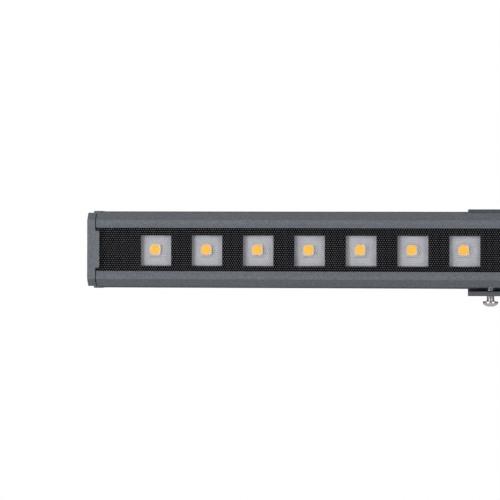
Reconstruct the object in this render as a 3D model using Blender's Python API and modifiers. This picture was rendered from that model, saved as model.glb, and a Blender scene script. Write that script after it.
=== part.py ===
"""LED strip batten: a 500 mm extruded aluminium batten with fourteen LEDs behind a
micro-lens cover, held in a C-shaped clip bracket by a clamp screw.

Frame: +X along the batten, the lit front faces -Y, +Z up. The origin lies on the rear
face of the bracket, midway along it and level with the axis of the batten. A "depth" is
in millimetres behind the front face of the batten, so world Y = FRONT_Y + depth.
"""

import math

import bmesh
import bpy
from mathutils import Matrix, Vector

MM = 0.001


def behind(previous, thickness):
    """Front and rear depth of a layer that sits one gap behind the previous one."""
    front = previous + GAP
    return (front, front + thickness)


# ---- shared dimensions, millimetres ---------------------------------------------------
LENGTH = 500.0  # over the two end caps
BATTEN_DEPTH = 48.0  # front face to fin tips
WALL_DEPTH = 52.0  # rear face of the bracket
FRONT_Y = -WALL_DEPTH
GAP = 0.1  # between neighbouring layers

# stack behind the front face: (front, rear) depths
LIP_DEPTH = 1.5
COVER_DEPTHS = behind(LIP_DEPTH, 3.0)
COVER_GASKET_DEPTHS = behind(COVER_DEPTHS[1], 0.4)
MASK_DEPTHS = behind(COVER_GASKET_DEPTHS[1], 0.6)
LEDGE_DEPTH = MASK_DEPTHS[1] + GAP
BOARD_DEPTHS = (8.2, 9.8)
LED_DEPTHS = (6.95, BOARD_DEPTHS[0] - GAP)
PAD_DEPTHS = behind(BOARD_DEPTHS[1], 0.5)
WEB_DEPTHS = behind(PAD_DEPTHS[1], 2.5)

# batten section, half heights
FACE_Z = 18.35  # outer edge of the flat face
SIDE_Z = 22.85  # side of the front part
SLOT_Z = 15.9  # slot that holds cover, gasket and mask
REAR_Z = 24.1  # heat-sink part behind the clamp groove

# half lengths, inwards from the end caps
CAP_T = 5.0
CAP_INNER_X = LENGTH / 2 - CAP_T
END_GASKET_X = (CAP_INNER_X - GAP - 0.4, CAP_INNER_X - GAP)
HOUSING_X = END_GASKET_X[0] - GAP
COVER_X = HOUSING_X - 0.1
MASK_X = COVER_X - 0.1

# holes and rows shared by several pieces
LED_PITCH = 31.9
BOARD_SCREW_X = tuple(n * LED_PITCH for n in (-6, -2, 2, 6))
LEAD_HOLE_X = 228.0  # hole for the LED feed through web, pad and board
CAP_PORTS = ((8.8, 18.3), (37.3, 17.9))  # (depth, half height) of the cap screws
PORT_R = 1.7
CLAMP_DEPTH = 18.5  # axis of the clamp screw
CONNECTOR_DEPTH = 27.0  # axis of the input connector
CONNECTOR_HOLE_R = 7.3
THREAD_R = 2.5  # M5 clamp screw
TIP_Z = (-20.0, -18.8)  # bottom and top of the clamp tip
HEAD_Z = (-35.0, -31.6)  # bottom and top of the clamp screw head

# ---- scene set-up ---------------------------------------------------------------------
for old in list(bpy.data.objects):
    bpy.data.objects.remove(old, do_unlink=True)

parts = bpy.data.collections.new("LED strip batten")
cutters = bpy.data.collections.new("Cutters")
bpy.context.scene.collection.children.link(parts)
bpy.context.scene.collection.children.link(cutters)


# ---- materials ------------------------------------------------------------------------
def material(name, colour, roughness, metallic=0.0, transmission=0.0):
    mat = bpy.data.materials.new(name)
    mat.use_nodes = True
    inputs = mat.node_tree.nodes["Principled BSDF"].inputs
    inputs["Base Color"].default_value = (*colour, 1.0)
    inputs["Roughness"].default_value = roughness
    inputs["Metallic"].default_value = metallic
    inputs["Transmission Weight"].default_value = transmission
    mat.diffuse_color = (*colour, 1.0)
    return mat


POWDER = material("powder coat grey", colour=(0.155, 0.172, 0.2), roughness=0.55)
BLACK = material("mask black", colour=(0.01, 0.01, 0.011), roughness=0.45)
CLEAR = material(
    "clear cover", colour=(0.95, 0.96, 0.97), roughness=0.05, transmission=1.0
)
RUBBER = material("silicone black", colour=(0.02, 0.02, 0.02), roughness=0.7)
STEEL = material("stainless steel", colour=(0.62, 0.6, 0.57), roughness=0.28, metallic=1.0)
NYLON = material("nylon black", colour=(0.015, 0.015, 0.016), roughness=0.5)
BOARD_WHITE = material("white board", colour=(0.8, 0.8, 0.8), roughness=0.5)
LED_WHITE = material("led package", colour=(0.85, 0.84, 0.82), roughness=0.4)
PAD_GREY = material("thermal pad", colour=(0.35, 0.42, 0.5), roughness=0.8)
BOARD_GREEN = material("driver board green", colour=(0.02, 0.14, 0.06), roughness=0.45)
FERRITE = material("ferrite", colour=(0.05, 0.05, 0.055), roughness=0.6)
SLEEVE = material("capacitor sleeve", colour=(0.03, 0.05, 0.16), roughness=0.35)
CHIP_BLACK = material("chip black", colour=(0.02, 0.02, 0.022), roughness=0.5)
TERMINAL_GREEN = material("terminal green", colour=(0.05, 0.3, 0.12), roughness=0.45)
SHEET = material("insulating sheet", colour=(0.75, 0.72, 0.6), roughness=0.5)
LEAD_RED = material("lead red", colour=(0.6, 0.02, 0.02), roughness=0.4)
LEAD_BLACK = material("lead black", colour=(0.015, 0.015, 0.015), roughness=0.4)
NICKEL = material(
    "nickel plated brass", colour=(0.65, 0.63, 0.58), roughness=0.25, metallic=1.0
)


# ---- places and flat loops ------------------------------------------------------------
def world(x, depth, z):
    """World position in metres."""
    return Vector((x, FRONT_Y + depth, z)) * MM


def circle(across, up, radius, count=12):
    """Polygon round a centre, turned half a step."""
    angles = [2 * math.pi * (k + 0.5) / count for k in range(count)]
    return [(across + radius * math.cos(a), up + radius * math.sin(a)) for a in angles]


def rectangle(left, right, low, high, radius=0.0, steps=3):
    """Rectangle loop, with rounded corners if a radius is given."""
    if radius <= 0:
        return [(left, low), (right, low), (right, high), (left, high)]
    loop = []
    for across, up, turn in (
        (right - radius, low + radius, -90),
        (right - radius, high - radius, 0),
        (left + radius, high - radius, 90),
        (left + radius, low + radius, 180),
    ):
        for k in range(steps + 1):
            angle = math.radians(turn + 90 * k / steps)
            loop.append((across + radius * math.cos(angle), up + radius * math.sin(angle)))
    return loop


def mirrored(half):
    """Closes a half outline of (depth, z) points with its mirror image in z."""
    return half + [(depth, -z) for depth, z in reversed(half)]


def port_circles(radius):
    return [circle(depth, sign * z, radius) for depth, z in CAP_PORTS for sign in (-1, 1)]


# ---- solids ---------------------------------------------------------------------------
def add_object(name, mesh, mat):
    """Adds a piece, or a hidden helper for a Boolean if there is no material."""
    obj = bpy.data.objects.new(name, mesh)
    if mat is None:
        cutters.objects.link(obj)
        obj.hide_render = True
        obj.display_type = "WIRE"
    else:
        parts.objects.link(obj)
        mesh.materials.clear()
        mesh.materials.append(mat)
    return obj


def mesh_from(bm, name):
    mesh = bpy.data.meshes.new(name)
    bm.to_mesh(mesh)
    bm.free()
    return mesh


def smooth(mesh, degrees):
    mesh.shade_smooth()
    mesh.set_sharp_from_angle(angle=math.radians(degrees))


def set_origin(obj, origin):
    """Puts the object's origin at a world point without moving its shape."""
    obj.data.transform(Matrix.Translation(-origin) @ obj.matrix_basis)
    obj.matrix_basis = Matrix.Translation(origin)


def middle(mesh):
    """Centre of the mesh's bounding box."""
    points = [vert.co for vert in mesh.vertices]
    low = Vector([min(p[i] for p in points) for i in range(3)])
    high = Vector([max(p[i] for p in points) for i in range(3)])
    return (low + high) / 2


def new_curve(name, dimensions):
    curve = bpy.data.curves.new(name, "CURVE")
    curve.dimensions = dimensions
    curve.resolution_u = 1
    curve.render_resolution_u = 0
    return curve


def add_spline(curve, points, cyclic):
    spline = curve.splines.new("POLY")
    spline.points.add(len(points) - 1)
    for point, place in zip(spline.points, points):
        point.co = (*place, 1.0)
    spline.use_cyclic_u = cyclic


def curve_mesh(name, curve, placement):
    """Turns a curve into a welded mesh, moved by the placement matrix."""
    source = bpy.data.objects.new(name + "_path", curve)
    cutters.objects.link(source)
    depsgraph = bpy.context.evaluated_depsgraph_get()
    mesh = bpy.data.meshes.new_from_object(source.evaluated_get(depsgraph))
    bpy.data.objects.remove(source, do_unlink=True)
    bm = bmesh.new()
    bm.from_mesh(mesh)
    bmesh.ops.remove_doubles(bm, verts=bm.verts, dist=1e-6)
    bmesh.ops.transform(bm, matrix=placement, verts=bm.verts)
    bmesh.ops.recalc_face_normals(bm, faces=bm.faces)
    bm.to_mesh(mesh)
    bm.free()
    mesh.name = name
    return mesh


def outline(name, loops, start, end, along, mat=None):
    """Solid of constant section from flat outlines; inner loops are holes.

    along "X": loops are (depth, z) and the solid runs from x=start to x=end.
    along "Y": loops are (x, z) and the solid runs from depth start to depth end.
    """
    curve = new_curve(name, "2D")
    curve.fill_mode = "BOTH"
    curve.extrude = abs(end - start) / 2 * MM
    for loop in loops:
        add_spline(curve, [(a * MM, b * MM, 0.0) for a, b in loop], cyclic=True)
    centre = (start + end) / 2
    if along == "X":
        rows = ((0, 0, 1, centre * MM), (1, 0, 0, FRONT_Y * MM), (0, 1, 0, 0))
    else:
        rows = ((1, 0, 0, 0), (0, 0, -1, (FRONT_Y + centre) * MM), (0, 1, 0, 0))
    mesh = curve_mesh(name, curve, Matrix((*rows, (0, 0, 0, 1))))
    obj = add_object(name, mesh, mat)
    set_origin(obj, middle(mesh))
    return obj


def box(name, xs, depths, zs, mat=None, bevel=0.0):
    """Box between two x, two depths and two z, with optional edge bevel."""
    bm = bmesh.new()
    bmesh.ops.create_cube(bm, size=1.0)
    size = Vector((xs[1] - xs[0], depths[1] - depths[0], zs[1] - zs[0])) * MM
    bmesh.ops.scale(bm, vec=size, verts=bm.verts)
    if bevel:
        bmesh.ops.bevel(
            bm, geom=bm.edges[:], offset=bevel * MM, segments=1,
            affect="EDGES", profile=0.5, clamp_overlap=True,
        )
    obj = add_object(name, mesh_from(bm, name), mat)
    obj.location = world(sum(xs) / 2, sum(depths) / 2, sum(zs) / 2)
    return obj


# turns local +Z to the named world axis
AXES = {
    "X": Matrix(((0, 0, 1), (1, 0, 0), (0, 1, 0))).to_4x4(),
    "-X": Matrix(((0, 0, -1), (1, 0, 0), (0, -1, 0))).to_4x4(),
    "Y": Matrix(((1, 0, 0), (0, 0, 1), (0, -1, 0))).to_4x4(),
    "-Y": Matrix(((1, 0, 0), (0, 0, -1), (0, 1, 0))).to_4x4(),
    "Z": Matrix.Identity(4),
}


def rod(name, radius, centre, length, axis, mat=None, sides=20):
    """Cylinder centred on a world point, along an axis."""
    bm = bmesh.new()
    bmesh.ops.create_cone(
        bm, cap_ends=True, segments=sides, radius1=radius * MM, radius2=radius * MM,
        depth=length * MM,
    )
    bmesh.ops.transform(bm, matrix=AXES[axis], verts=bm.verts)
    mesh = mesh_from(bm, name)
    smooth(mesh, degrees=40)
    obj = add_object(name, mesh, mat)
    obj.location = centre
    return obj


def turned(name, profile, origin, axis, mat=None, steps=20, closed=False):
    """Turned solid: a profile of (radius, height) points, spun about the axis."""
    bm = bmesh.new()
    ring = [bm.verts.new((radius * MM, 0.0, height * MM)) for radius, height in profile]
    for start, end in zip(ring, ring[1:]):
        bm.edges.new((start, end))
    if closed:
        bm.edges.new((ring[-1], ring[0]))
    obj = add_object(name, mesh_from(bm, name), mat)
    obj.matrix_basis = Matrix.Translation(origin) @ AXES[axis]
    spin = obj.modifiers.new("Turn", "SCREW")
    spin.axis = "Z"
    spin.steps = steps
    spin.render_steps = steps
    spin.use_merge_vertices = True
    spin.merge_threshold = 1e-5
    spin.use_smooth_shade = True
    return obj


def boolean(obj, other, operation):
    modifier = obj.modifiers.new(operation.title(), "BOOLEAN")
    modifier.operation = operation
    modifier.solver = "EXACT"
    modifier.object = other


def cut(obj, cutter):
    boolean(obj, cutter, "DIFFERENCE")


def join(obj, other):
    boolean(obj, other, "UNION")


# ---- bodies: one empty for each group of pieces that moves together -------------------
def body(name, place):
    empty = bpy.data.objects.new(name, None)
    empty.empty_display_size = 0.02
    parts.objects.link(empty)
    empty.location = place
    return empty


def attach(empty, *objects):
    for obj in objects:
        obj.parent = empty
        obj.matrix_parent_inverse = Matrix.Translation(-empty.location)


CLAMP_POINT = world(0.0, CLAMP_DEPTH, 0.0)
bracket_body = body("bracket_body", Vector((0, 0, 0)))
batten_body = body("batten_body", world(0, BATTEN_DEPTH / 2, 0))
tip_body = body("clamp_tip_body", CLAMP_POINT + Vector((0, 0, TIP_Z[1] * MM)))
screw_body = body("clamp_screw_body", CLAMP_POINT + Vector((0, 0, HEAD_Z[0] * MM)))


# ---- bracket --------------------------------------------------------------------------
BRACKET_W = 28.0
PLATE_T = 3.0  # back plate
HOOK_Z = (REAR_Z + 0.3, REAR_Z + 1.5)  # upper arm, underside and top
ARM_Z = (-28.3, -25.3)  # lower arm, underside and top
ARM_DEPTH = 12.0  # free end of the lower arm
BRACKET_HOLE_Z = 13.0


def make_bracket():
    """C-shaped clip: a thin upper arm hooks over the batten's rear part, a 3 mm lower
    arm carries the clamp screw and the back plate goes to the wall."""
    hook_under, hook_top = HOOK_Z
    arm_under, arm_top = ARM_Z
    plate_front = WALL_DEPTH - PLATE_T
    section = [  # (depth, z)
        (WALL_DEPTH, arm_under + 1.0), (WALL_DEPTH, hook_top - 1.0),
        (WALL_DEPTH - 1.0, hook_top), (24.4, hook_top),
        (23.8, hook_top - 0.6), (23.8, 21.2), (24.2, 20.8), (25.0, 20.8),
        (25.4, 21.2), (25.4, 23.6), (26.2, hook_under),
        (plate_front - 0.8, hook_under), (plate_front, hook_under - 0.8),
        (plate_front, arm_top + 1.5), (plate_front - 1.5, arm_top),
        (ARM_DEPTH + 0.3, arm_top), (ARM_DEPTH, arm_top - 0.3),
        (ARM_DEPTH, arm_under + 0.3), (ARM_DEPTH + 0.3, arm_under),
        (WALL_DEPTH - 1.0, arm_under),
    ]
    bracket = outline("bracket", [section], -BRACKET_W / 2, BRACKET_W / 2, "X", POWDER)
    countersunk = [(0, 5.0), (2.8, 5.0), (2.8, -0.1), (5.6, -2.9), (5.6, -4.0), (0, -4.0)]
    for level, sign in (("low", -1), ("high", 1)):
        place = world(0, WALL_DEPTH - 0.2, sign * BRACKET_HOLE_Z)
        cut(bracket, turned(f"bracket_hole_{level}", countersunk, place, "Y", steps=24))
    arm_centre = world(0, CLAMP_DEPTH, sum(ARM_Z) / 2)
    cut(bracket, rod("clamp_hole", THREAD_R + 0.3, arm_centre, 8.0, "Z", sides=24))
    set_origin(bracket, Vector((0, 0, 0)))
    attach(bracket_body, bracket)


# ---- clamp ----------------------------------------------------------------------------
TIP_R = 4.0
HEAD_R = 4.7
DOME_H = 2.6  # domed lower part of the head
SHANK_TOP = -20.3
NECK_R = 1.2  # thin end of the screw, inside the tip
RECESS = (5.0, 1.1)  # length and width of each arm of the cross recess
RECESS_H = 1.7


def make_clamp_tip():
    """Nylon swivel tip with a blind socket, just under the floor of the groove."""
    low, top = TIP_Z
    profile = [
        (0, top), (TIP_R - 0.4, top), (TIP_R, top - 0.4), (TIP_R, low + 0.2),
        (TIP_R - 0.2, low), (1.5, low), (1.5, top - 0.4), (0, top - 0.4),
    ]
    attach(tip_body, turned("clamp_tip", profile, CLAMP_POINT, "Z", NYLON))


def make_clamp_screw():
    """M5 pan head screw, head down, through the lower arm."""
    head_low, head_top = HEAD_Z
    neck_top = TIP_Z[1] - 0.7
    shank = [
        (0, neck_top), (NECK_R - 0.2, neck_top), (NECK_R, neck_top - 0.2),
        (NECK_R, SHANK_TOP), (THREAD_R - 0.5, SHANK_TOP), (THREAD_R, SHANK_TOP - 0.5),
        (THREAD_R, head_top + 0.2), (THREAD_R + 0.2, head_top),
        (HEAD_R - 0.2, head_top), (HEAD_R, head_top - 0.2),
    ]
    dome = [
        (HEAD_R * math.cos(angle), head_low + DOME_H - DOME_H * math.sin(angle))
        for angle in map(math.radians, (0, 18, 36, 54, 68))
    ]
    profile = shank + dome + [(0, head_low)]
    screw = turned("clamp_screw", profile, CLAMP_POINT, "Z", STEEL, steps=24)
    for k, (wide, deep) in enumerate((RECESS, RECESS[::-1])):
        xs = (-wide / 2, wide / 2)
        depths = (CLAMP_DEPTH - deep / 2, CLAMP_DEPTH + deep / 2)
        cut(screw, box(f"recess_{k}", xs, depths, (head_low - 1.0, head_low + RECESS_H)))
    attach(screw_body, screw)


# ---- housing --------------------------------------------------------------------------
OPENING_Z = 13.4  # visible cover opening
BEVEL_Z = 15.9  # outer edge of the shallow inner bevel
WAIST_Z = 18.5  # floor of the clamp groove
RECESS_Z = 14.9  # recess that holds the LED boards
SIDE_GROOVES = ((32.5, 1.0), (36.5, 1.1), (40.5, 1.0))  # (centre depth, groove depth)
FIN_GROOVE_Z = (16.5, 11.0, 5.5)  # above the groove on the axis
FIN_ROOT_DEPTH = 43.5
WEB_CUT_DEPTH = 11.7  # middle of the cutters through the web


def make_housing():
    """Aluminium extrusion: front lips hold the cover, a web carries the LED boards,
    side grooves take the clip and the clamp, fins cool the rear."""
    upper = [  # (depth, z)
        (WEB_DEPTHS[0], RECESS_Z), (LEDGE_DEPTH, RECESS_Z),
        (LEDGE_DEPTH, SLOT_Z), (LIP_DEPTH, SLOT_Z),
        (LIP_DEPTH, OPENING_Z), (0.8, OPENING_Z), (0.0, BEVEL_Z), (0.0, FACE_Z),
        (4.5, SIDE_Z), (9.5, SIDE_Z), (13.0, WAIST_Z), (25.5, WAIST_Z),
        (28.0, REAR_Z - 0.4), (28.4, REAR_Z),
    ]
    for centre, deep in SIDE_GROOVES:
        upper += [
            (centre - 0.8, REAR_Z), (centre - 0.6, REAR_Z - deep),
            (centre + 0.6, REAR_Z - deep), (centre + 0.8, REAR_Z),
        ]
    upper += [(46.0, REAR_Z), (BATTEN_DEPTH, REAR_Z - 2.0)]
    for z in FIN_GROOVE_Z:
        upper += [
            (BATTEN_DEPTH, z + 1.4), (FIN_ROOT_DEPTH, z + 1.2),
            (FIN_ROOT_DEPTH, z - 1.2), (BATTEN_DEPTH, z - 1.4),
        ]
    upper += [(BATTEN_DEPTH, 1.4), (FIN_ROOT_DEPTH, 1.2)]
    half_chamber = [
        (WEB_DEPTHS[1], 16.2), (26.0, 16.2), (28.6, 21.2), (33.5, 21.2),
        (33.5, 14.5), (41.0, 14.5),
    ]
    loops = [mirrored(upper), mirrored(half_chamber)] + port_circles(PORT_R)
    housing = outline("housing", loops, -HOUSING_X, HOUSING_X, "X", POWDER)
    for k, x in enumerate(BOARD_SCREW_X):
        place = world(x, WEB_CUT_DEPTH, 0)
        cut(housing, rod(f"web_hole_{k}", 1.7, place, 4.0, "Y", sides=12))
    place = world(LEAD_HOLE_X, WEB_CUT_DEPTH, 0)
    cut(housing, rod("web_lead_hole", 3.2, place, 4.0, "Y"))
    attach(batten_body, housing)


# ---- end caps -------------------------------------------------------------------------
CAP_SIDE_Z = 23.1  # side of the cap just in front of its flange, after casting draft
CAP_FLANGE_Z = REAR_Z + 0.3  # rear flange
CAP_FLANGE_DEPTH = 28.0
CAP_ROUNDING = 0.9  # outer rim
TONGUE_X = (242.4, 246.4)
TONGUE_Z = 11.6
TONGUE_DEPTHS = (0.0, 1.3)

# (radius, height) outwards from the cap's outer face
CAP_PORT_PROFILE = [
    (0, 1.0), (3.1, 1.0), (3.1, -2.6), (PORT_R, -2.6), (PORT_R, -7.0), (0, -7.0),
]
END_SCREW_PROFILE = [
    (0, -2.0), (1.2, -2.0), (1.2, -0.35), (1.9, -0.35), (2.6, -0.9),
    (2.6, -2.3), (1.4, -2.3), (1.4, -12.5), (0.9, -13.0), (0, -13.0),
]


def round_rim(cap, outer_x):
    """Bevels the edges round the outer face of a cap."""
    bm = bmesh.new()
    bm.from_mesh(cap.data)
    rim = [
        edge for edge in bm.edges
        if all(abs((cap.location + vert.co).x - outer_x * MM) < 1e-5 for vert in edge.verts)
        and len(edge.link_faces) == 2
        and edge.calc_face_angle(0) > math.radians(20)
    ]
    bmesh.ops.bevel(
        bm, geom=rim, offset=CAP_ROUNDING * MM, segments=3, profile=0.5,
        affect="EDGES", clamp_overlap=True,
    )
    bm.to_mesh(cap.data)
    bm.free()


def make_end_cap(side, sign):
    """Die-cast plate with a tongue over the end of the cover, a rear flange and four
    M3 screws in counterbores."""
    outer_x = sign * LENGTH / 2
    axis = "X" if sign > 0 else "-X"
    half_cap = [  # (depth, z)
        (0.0, FACE_Z), (4.5, SIDE_Z),
        (CAP_FLANGE_DEPTH, CAP_SIDE_Z), (CAP_FLANGE_DEPTH, CAP_FLANGE_Z),
        (46.2, CAP_FLANGE_Z), (48.0, CAP_FLANGE_Z - 1.8),
    ]
    cap = outline(
        f"end_cap_{side}", [mirrored(half_cap)], sign * CAP_INNER_X, outer_x, "X", POWDER
    )
    round_rim(cap, outer_x)
    tongue_xs = sorted(sign * x for x in TONGUE_X)
    tongue_loop = rectangle(*tongue_xs, -TONGUE_Z, TONGUE_Z, radius=1.0)
    join(cap, outline(f"tongue_{side}", [tongue_loop], *TONGUE_DEPTHS, "Y"))
    screw_places = [(depth, q * z) for depth, z in CAP_PORTS for q in (1, -1)]
    for k, (depth, z) in enumerate(screw_places):
        place = world(outer_x, depth, z)
        cut(cap, turned(f"cap_port_{side}_{k}", CAP_PORT_PROFILE, place, axis))
        name = f"end_screw_{side}_{k + 1}"
        screw = turned(name, END_SCREW_PROFILE, place, axis, STEEL, steps=12)
        attach(batten_body, screw)
    if sign > 0:
        place = world(outer_x, CONNECTOR_DEPTH, 0)
        cut(cap, rod("connector_hole", CONNECTOR_HOLE_R, place, 16.0, "X", sides=28))
    attach(batten_body, cap)


def make_end_gasket(side, sign):
    """Flat gasket between the housing and an end cap."""
    rim = mirrored([(1.9, -18.0), (5.8, -21.9), (44.8, -21.9), (46.4, -20.3)])
    loops = [rim, rectangle(14.0, 40.0, -12.0, 12.0, radius=2.0)] + port_circles(1.8)
    start, end = (sign * x for x in END_GASKET_X)
    attach(batten_body, outline(f"end_gasket_{side}", loops, start, end, "X", RUBBER))


# ---- front stack and LED row ----------------------------------------------------------
COVER_Z = SLOT_Z - 0.3
MASK_Z = COVER_Z - 0.1
LED_COUNT = 14
WINDOW = 18.9  # side of the square mask windows
WINDOW_Z = -0.6
LED_SIZE = 7.0
LED_SHIFT_X = -0.74  # LED from the middle of its window
PHOSPHOR_R = 2.75
LED_X = [(k - (LED_COUNT - 1) / 2) * LED_PITCH for k in range(LED_COUNT)]


def make_front_stack():
    """Cover, its gasket, and the black mask plate with one window for each LED."""
    cover_zs = (-COVER_Z, COVER_Z)
    cover = box("front_cover", (-COVER_X, COVER_X), COVER_DEPTHS, cover_zs, CLEAR)
    rim = rectangle(-MASK_X, MASK_X, -MASK_Z, MASK_Z)
    opening = rectangle(-242.6, 242.6, -14.1, 14.1, radius=1.0)
    gasket = outline("cover_gasket", [rim, opening], *COVER_GASKET_DEPTHS, "Y", RUBBER)
    half = WINDOW / 2
    windows = [
        rectangle(x - half, x + half, WINDOW_Z - half, WINDOW_Z + half) for x in LED_X
    ]
    mask = outline("mask_plate", [rim] + windows, *MASK_DEPTHS, "Y", BLACK)
    attach(batten_body, cover, gasket, mask)


def make_led_board(side, sign):
    """Metal-core board for seven LEDs, on its thermal pad."""
    left, right = sorted((sign * 0.4, sign * 241.5))
    screws = [x for x in BOARD_SCREW_X if x * sign > 0]
    board_loops = [rectangle(left, right, -14.6, 14.6, radius=1.0)]
    board_loops += [circle(x, 0, 1.7) for x in screws]
    pad_loops = [rectangle(left + 0.8, right - 0.8, -14.2, 14.2, radius=1.0)]
    pad_loops += [circle(x, 0, 2.3) for x in screws]
    if sign > 0:
        board_loops.append(circle(LEAD_HOLE_X, 0, 3.0, 16))
        pad_loops.append(circle(LEAD_HOLE_X, 0, 3.6, 16))
    board = outline(f"led_board_{side}", board_loops, *BOARD_DEPTHS, "Y", BOARD_WHITE)
    pad = outline(f"thermal_pad_{side}", pad_loops, *PAD_DEPTHS, "Y", PAD_GREY)
    attach(batten_body, board, pad)


def make_leds():
    half = LED_SIZE / 2
    for k, window_x in enumerate(LED_X, start=1):
        x = window_x + LED_SHIFT_X
        led = box(
            f"led_{k:02d}", (x - half, x + half), LED_DEPTHS, (-half, half), LED_WHITE,
            bevel=0.25,
        )
        place = world(x, LED_DEPTHS[0] + 0.1, 0)
        join(led, rod(f"phosphor_{k:02d}", PHOSPHOR_R, place, 0.5, "Y"))
        attach(batten_body, led)


def make_board_fixings():
    """Screws that hold the LED boards to the web, and the link between the boards."""
    profile = [  # (radius, height) forwards from the board's face
        (0, 0.75), (1.1, 0.75), (1.1, 1.75), (1.7, 1.75), (2.6, 1.1),
        (2.6, 0.1), (1.4, 0.1), (1.4, -4.2), (1.0, -4.6), (0, -4.6),
    ]
    for k, x in enumerate(BOARD_SCREW_X, start=1):
        place = world(x, BOARD_DEPTHS[0], 0)
        attach(
            batten_body, turned(f"led_board_screw_{k}", profile, place, "-Y", STEEL, steps=12)
        )
    link_depths = (6.3, LED_DEPTHS[1])
    attach(
        batten_body, box("board_link", (-4.5, 4.5), link_depths, (-4.0, 4.0), NYLON, bevel=0.3)
    )


# ---- driver, in the chamber behind the web --------------------------------------------
DRIVER_X = (60.0, 220.0)
DRIVER_Z = 20.6
DRIVER_DEPTHS = (30.6, 32.2)
SEAT_DEPTH = 30.3  # rear of the tall components
TERMINAL_X = (205.0, 217.0)
TERMINAL_FRONT = 20.5
POLE_Z = [(1.5 - k) * 4.4 for k in range(4)]  # four poles of the terminal, top first

# (radius, height) forwards from SEAT_DEPTH
INDUCTOR_PROFILE = [
    (0, 14.0), (8.6, 14.0), (9.0, 13.6), (9.0, 12.2), (7.4, 11.6), (7.4, 2.6),
    (9.0, 2.0), (9.0, 0.4), (8.6, 0.0), (0, 0.0),
]
CAPACITOR_PROFILE = [
    (0, 15.6), (5.6, 15.6), (6.2, 15.0), (6.2, 1.4), (5.8, 1.0), (6.2, 0.6),
    (6.0, 0.0), (0, 0.0),
]


def make_driver_board():
    """Driver board and the insulating sheet behind it."""
    left, right = DRIVER_X
    loops = [rectangle(left, right, -DRIVER_Z, DRIVER_Z, radius=1.5)]
    loops += [circle(x, z, 1.6) for x in (left + 6.0, right - 6.0) for z in (-16.0, 16.0)]
    board = outline("driver_board", loops, *DRIVER_DEPTHS, "Y", BOARD_GREEN)
    height = DRIVER_Z + 0.2
    sheet_loop = rectangle(left - 2.0, right + 2.0, -height, height, radius=2.0)
    sheet = outline("driver_insulator", [sheet_loop], 32.9, 33.3, "Y", SHEET)
    attach(batten_body, board, sheet)


def make_driver_components():
    for name, profile, x, z, mat in (
        ("driver_inductor", INDUCTOR_PROFILE, 120.0, 0.0, FERRITE),
        ("driver_capacitor_1", CAPACITOR_PROFILE, 82.0, -6.5, SLEEVE),
        ("driver_capacitor_2", CAPACITOR_PROFILE, 97.0, 6.5, SLEEVE),
    ):
        place = world(x, SEAT_DEPTH, z)
        attach(batten_body, turned(name, profile, place, "-Y", mat, steps=24))
    chip = box(
        "driver_chip", (148.0, 163.0), (26.0, 30.4), (-5.2, 5.2), CHIP_BLACK, bevel=0.4
    )
    terminal = box(
        "driver_terminal", TERMINAL_X, (TERMINAL_FRONT, SEAT_DEPTH), (-9.0, 9.0),
        TERMINAL_GREEN, bevel=0.4,
    )
    for k, z in enumerate(POLE_Z):
        place = world(sum(TERMINAL_X) / 2, TERMINAL_FRONT, z)
        cut(terminal, rod(f"terminal_screw_{k}", 1.5, place, 4.0, "Y", sides=12))
    attach(batten_body, chip, terminal)


# ---- wires ----------------------------------------------------------------------------
LEAD_R = 0.8
LEAD_START_X = TERMINAL_X[1] + 0.5


def swept(corners, radius, steps=4):
    """Path through corner points with each inner corner rounded off."""
    path = [corners[0]]
    for before, corner, after in zip(corners, corners[1:], corners[2:]):
        back, ahead = before - corner, after - corner
        reach = min(radius * MM, back.length * 0.45, ahead.length * 0.45)
        start = corner + back.normalized() * reach
        end = corner + ahead.normalized() * reach
        for k in range(steps + 1):
            t = k / steps
            path.append(start * (1 - t) ** 2 + corner * 2 * t * (1 - t) + end * t**2)
    return path + [corners[-1]]


def make_lead(name, corners, bend_radius, mat):
    """Insulated wire through (x, depth, z) corners."""
    path = swept([world(*corner) for corner in corners], bend_radius)
    curve = new_curve(name, "3D")
    curve.bevel_depth = LEAD_R * MM
    curve.bevel_resolution = 2
    curve.use_fill_caps = True
    add_spline(curve, path, cyclic=False)
    mesh = curve_mesh(name, curve, Matrix.Identity(4))
    smooth(mesh, degrees=50)
    wire = add_object(name, mesh, mat)
    set_origin(wire, path[0])
    attach(batten_body, wire)


def make_leads():
    """Supply from the connector, and the LED feed through the hole in the web."""
    for colour, mat, supply_z, supply_end_z, feed_z, feed_end_z in (
        ("red", LEAD_RED, POLE_Z[0], 1.8, POLE_Z[2], 1.2),
        ("black", LEAD_BLACK, POLE_Z[1], -1.8, POLE_Z[3], -1.2),
    ):
        supply = [
            (LEAD_START_X, 26.0, supply_z), (224.0, 26.0, supply_z),
            (233.0, CONNECTOR_DEPTH, supply_end_z), (241.8, CONNECTOR_DEPTH, supply_end_z),
        ]
        make_lead(f"input_lead_{colour}", supply, 4.0, mat)
        feed = [
            (LEAD_START_X, 23.0, feed_z), (222.0, 23.0, feed_z),
            (LEAD_HOLE_X, 19.0, feed_end_z), (LEAD_HOLE_X, 7.2, feed_end_z),
            (222.5, 7.2, feed_end_z * 2.2),
        ]
        make_lead(f"led_lead_{colour}", feed, 2.5, mat)


# ---- input connector, through the right cap -------------------------------------------
NUT_R = 10.0  # over the corners
PIN_CIRCLE_R = 2.6

# closed (radius, height) sections, outwards from the cap's outer face
SHELL_PROFILE = [
    (5.2, 12.6), (5.7, 12.6), (6.0, 12.2), (6.0, 3.2), (5.6, 2.9), (9.6, 2.9),
    (10.0, 2.5), (10.0, 0.9), (7.0, 0.9), (7.0, -9.0), (5.2, -9.0),
]
O_RING_PROFILE = [
    (8.6, 0.8), (9.2, 0.7), (9.5, 0.45), (9.2, 0.2), (8.6, 0.1), (7.8, 0.1), (7.8, 0.8),
]


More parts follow.
